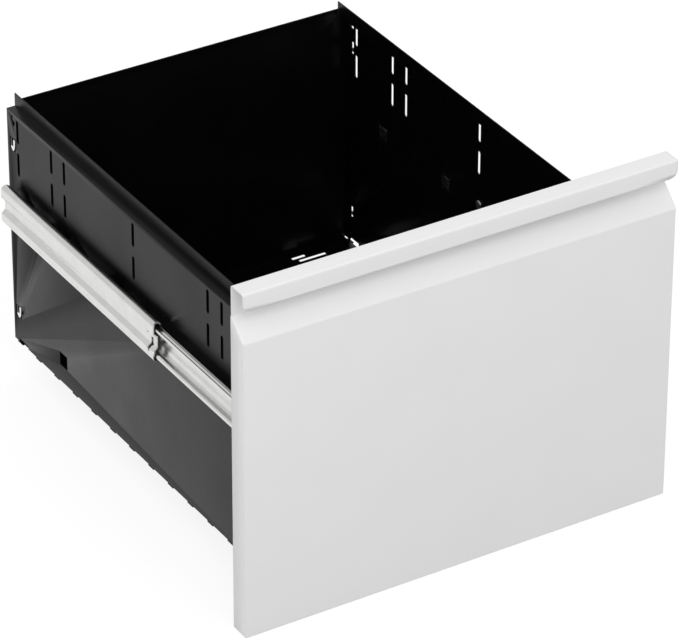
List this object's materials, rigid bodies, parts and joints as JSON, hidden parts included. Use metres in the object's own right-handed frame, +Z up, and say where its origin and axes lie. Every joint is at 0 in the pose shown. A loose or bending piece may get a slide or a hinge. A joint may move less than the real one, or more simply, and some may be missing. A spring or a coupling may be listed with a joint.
{
  "type": "file drawer on ball slides",
  "caption": "Deep sheet-steel file drawer with a flat front, folded pull lip, hanging-file lips, slotted sides and a pair of ball-bearing side slides.",
  "frame": {"origin": "middle of the overall footprint, level with the bottom edge of the front panel", "axes": "+X to the right seen from the front, +Y from the front to the back, +Z up; the front panel faces -Y"},
  "size_m": [0.3854, 0.4306, 0.305],
  "materials": {
    "white_paint": "white fine-texture powder coat",
    "black_paint": "satin black powder coat",
    "zinc_steel": "bright zinc plated, roll formed",
    "fastener_steel": "zinc plated",
    "black_rubber": "matt black"
  },
  "bodies": {
    "cabinet_rails": {"left_outer_rail": "zinc_steel", "right_outer_rail": "zinc_steel"},
    "drawer": {"front_panel": "white_paint", "inner_front_panel": "black_paint", "back_panel": "black_paint", "bottom_panel": "black_paint", "left_side_panel": "black_paint", "right_side_panel": "black_paint", "left_front_stiffener": "zinc_steel", "right_front_stiffener": "zinc_steel", "left_lower_front_screw": "fastener_steel", "left_upper_front_screw": "fastener_steel", "right_lower_front_screw": "fastener_steel", "right_upper_front_screw": "fastener_steel", "left_inner_rail": "zinc_steel", "right_inner_rail": "zinc_steel", "left_front_rail_rivet": "fastener_steel", "left_middle_rail_rivet": "fastener_steel", "right_front_rail_rivet": "fastener_steel", "right_middle_rail_rivet": "fastener_steel", "left_open_stop": "zinc_steel", "right_open_stop": "zinc_steel", "left_front_bumper": "black_rubber", "right_front_bumper": "black_rubber"},
    "left_cage": {"left_ball_cage": "fastener_steel"},
    "right_cage": {"right_ball_cage": "fastener_steel"}
  },
  "joints": [
    {"name": "drawer_slide", "type": "slide", "parent": "cabinet_rails", "child": "drawer", "axis": [0, 1, 0], "range_m": [0, 0.15]},
    {"name": "left_cage_slide", "type": "slide", "parent": "cabinet_rails", "child": "left_cage", "axis": [0, 1, 0], "range_m": [0, 0.075]},
    {"name": "right_cage_slide", "type": "slide", "parent": "cabinet_rails", "child": "right_cage", "axis": [0, 1, 0], "range_m": [0, 0.075]}
  ],
  "couplings": [
    {"joint": "left_cage_slide", "follows": "drawer_slide", "ratio": 0.5},
    {"joint": "right_cage_slide", "follows": "drawer_slide", "ratio": 0.5}
  ]
}
